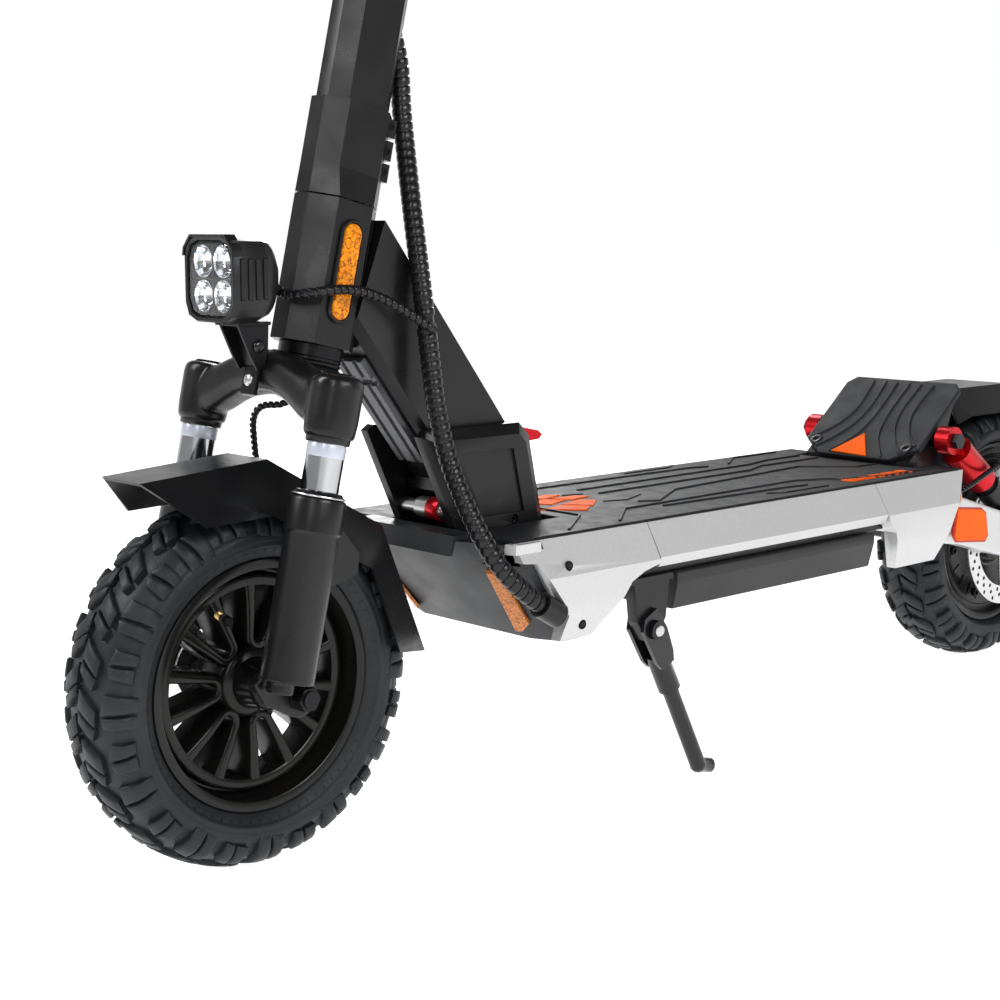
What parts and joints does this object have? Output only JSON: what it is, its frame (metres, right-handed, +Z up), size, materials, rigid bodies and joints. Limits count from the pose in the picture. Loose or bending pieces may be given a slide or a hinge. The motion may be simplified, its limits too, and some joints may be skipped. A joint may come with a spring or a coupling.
{
  "type": "electric kick scooter",
  "caption": "Electric kick scooter with folding front frame, suspension fork, sprung swing arm, wide rubber deck and rear hub motor.",
  "frame": {"origin": "centre of the bounding box at ground level, under the middle of the deck", "axes": "+X to the rider's left, -Y forwards in the direction of travel, +Z up"},
  "size_m": [0.62, 1.156, 1.2427],
  "materials": {
    "satin_black_paint": "satin powder coat",
    "cast_silver": "fine silver lacquer",
    "nose_plastic": "fine grained",
    "amber_reflector": "moulded prisms",
    "deck_rubber": "moulded ridges, matt",
    "battery_shell": "satin",
    "zinc_steel": "zinc plated",
    "black_steel": "black oxide",
    "channel_grey": "ribbed",
    "red_anodised": "red anodised",
    "shock_black": "satin anodised",
    "chrome": "hard chrome",
    "grip_rubber": "knurled, matt",
    "black_plastic": "fine grained",
    "lever_aluminium": "black anodised",
    "lamp_lens": "clear, polished",
    "wheel_black": "satin, cast",
    "tyre_rubber": "matt, knobbly",
    "disc_steel": "turned, drilled",
    "fender_bright": "satin, pale edge",
    "gloss_black": "gloss",
    "cable_sleeve": "spiral wrap"
  },
  "bodies": {
    "deck": {"deck_frame": "satin_black_paint", "left_castings": "cast_silver", "right_castings": "cast_silver", "nose_cover": "nose_plastic", "corner_reflectors": "amber_reflector", "deck_mat": "deck_rubber", "battery_pack": "battery_shell", "controller": "battery_shell", "fold_plates": "satin_black_paint", "fold_pins": "zinc_steel", "kick_plate": "satin_black_paint", "kick_pad": "deck_rubber", "cable_gland": "black_plastic", "kickstand_bracket": "satin_black_paint", "deck_fixings": "black_steel", "rear_brake_hose": "cable_sleeve"},
    "front_frame": {"main_frame": "satin_black_paint", "beam_cover": "channel_grey", "head_reflectors": "amber_reflector", "headset_bearings": "black_steel", "cable_lower": "cable_sleeve"},
    "latch": {"latch_lever": "red_anodised"},
    "steering": {"crown": "satin_black_paint", "stanchions": "chrome", "stem_clamp": "satin_black_paint", "clamp_bolts": "black_steel", "stem": "satin_black_paint", "handlebar": "satin_black_paint", "grips": "grip_rubber", "display": "black_plastic", "bar_controls": "black_plastic", "headlight_bracket": "black_steel", "headlight_housing": "black_plastic", "headlight_lens": "lamp_lens", "cable_upper": "cable_sleeve", "headlight_lead": "cable_sleeve", "front_brake_hose": "cable_sleeve", "lever_hoses": "cable_sleeve"},
    "left_lever": {"brake_lever_left": "lever_aluminium"},
    "right_lever": {"brake_lever_right": "lever_aluminium"},
    "throttle": {"throttle_paddle": "black_plastic"},
    "button": {"power_button": "black_plastic"},
    "fork_lower": {"sliders": "satin_black_paint", "front_axle": "zinc_steel", "front_fender": "satin_black_paint", "front_caliper": "shock_black"},
    "front_wheel": {"front_rim": "wheel_black", "front_tyre": "tyre_rubber", "front_disc": "disc_steel"},
    "swing": {"swing_arm": "cast_silver", "swing_hardware": "zinc_steel", "rear_caliper": "shock_black", "rear_fender": "fender_bright", "swing_reflectors": "amber_reflector"},
    "rear_wheel": {"rear_tyre": "tyre_rubber", "hub_motor": "wheel_black", "rear_disc": "disc_steel"},
    "shock_upper": {"shock_bodies": "red_anodised"},
    "shock_lower": {"shock_rods": "shock_black"},
    "kickstand": {"kickstand_leg": "gloss_black"}
  },
  "joints": [
    {"name": "fold", "type": "hinge", "parent": "deck", "child": "front_frame", "pos_m": [0, -0.222, 0.246], "axis": [-1, 0, 0], "range_deg": [0, 77], "deforming": ["cable_lower"]},
    {"name": "latch_press", "type": "hinge", "parent": "front_frame", "child": "latch", "pos_m": [0, -0.208, 0.2785], "axis": [1, 0, 0], "range_deg": [0, 20], "stiffness_Nm_per_rad": 0.3, "springref_deg": -11.46},
    {"name": "steer", "type": "hinge", "parent": "front_frame", "child": "steering", "pos_m": [0, -0.43925, 0.128], "axis": [0, 0.2294, 0.9733], "range_deg": [-50, 50], "deforming": ["cable_upper", "headlight_lead"]},
    {"name": "fork_travel", "type": "slide", "parent": "steering", "child": "fork_lower", "axis": [0, 0.2294, 0.9733], "range_m": [0, 0.03], "stiffness_N_per_m": 15000, "springref_m": -0.012, "deforming": ["front_brake_hose"]},
    {"name": "front_spin", "type": "hinge", "parent": "fork_lower", "child": "front_wheel", "pos_m": [0, -0.45, 0.128], "axis": [1, 0, 0], "continuous": true},
    {"name": "brake_left", "type": "hinge", "parent": "steering", "child": "left_lever", "pos_m": [0.154, -0.21477, 1.21139], "axis": [0, 0.2294, 0.9733], "range_deg": [0, 10], "stiffness_Nm_per_rad": 1.5, "springref_deg": -8.59},
    {"name": "brake_right", "type": "hinge", "parent": "steering", "child": "right_lever", "pos_m": [-0.154, -0.21477, 1.21139], "axis": [0, -0.2294, -0.9733], "range_deg": [0, 10], "stiffness_Nm_per_rad": 1.5, "springref_deg": -8.59},
    {"name": "throttle_press", "type": "hinge", "parent": "steering", "child": "throttle", "pos_m": [-0.122, -0.19038, 1.18407], "axis": [-1, 0, 0], "range_deg": [0, 25], "stiffness_Nm_per_rad": 0.15, "springref_deg": -17.19},
    {"name": "power_press", "type": "slide", "parent": "steering", "child": "button", "axis": [0, -0.2294, -0.9733], "range_m": [0, 0.0015], "stiffness_N_per_m": 300, "springref_m": -0.002},
    {"name": "swing", "type": "hinge", "parent": "deck", "child": "swing", "pos_m": [0, 0.278, 0.166], "axis": [1, 0, 0], "range_deg": [0, 6], "stiffness_Nm_per_rad": 200, "springref_deg": -5.73, "deforming": ["rear_brake_hose"]},
    {"name": "rear_spin", "type": "hinge", "parent": "swing", "child": "rear_wheel", "pos_m": [0, 0.45, 0.128], "axis": [1, 0, 0], "continuous": true},
    {"name": "shock_tilt", "type": "hinge", "parent": "deck", "child": "shock_upper", "pos_m": [0, 0.29, 0.238], "axis": [1, 0, 0], "range_deg": [0, 4.7]},
    {"name": "shock_stroke", "type": "slide", "parent": "shock_upper", "child": "shock_lower", "axis": [0, 0.8094, -0.5872], "range_m": [-0.0072, 0]},
    {"name": "kickstand_swing", "type": "hinge", "parent": "deck", "child": "kickstand", "pos_m": [0.093, -0.142, 0.131], "axis": [1, 0, 0], "range_deg": [0, 57]}
  ],
  "couplings": [
    {"joint": "shock_tilt", "follows": "swing", "ratio": 0.755},
    {"joint": "shock_stroke", "follows": "swing", "m_per_rad": -0.0666}
  ]
}
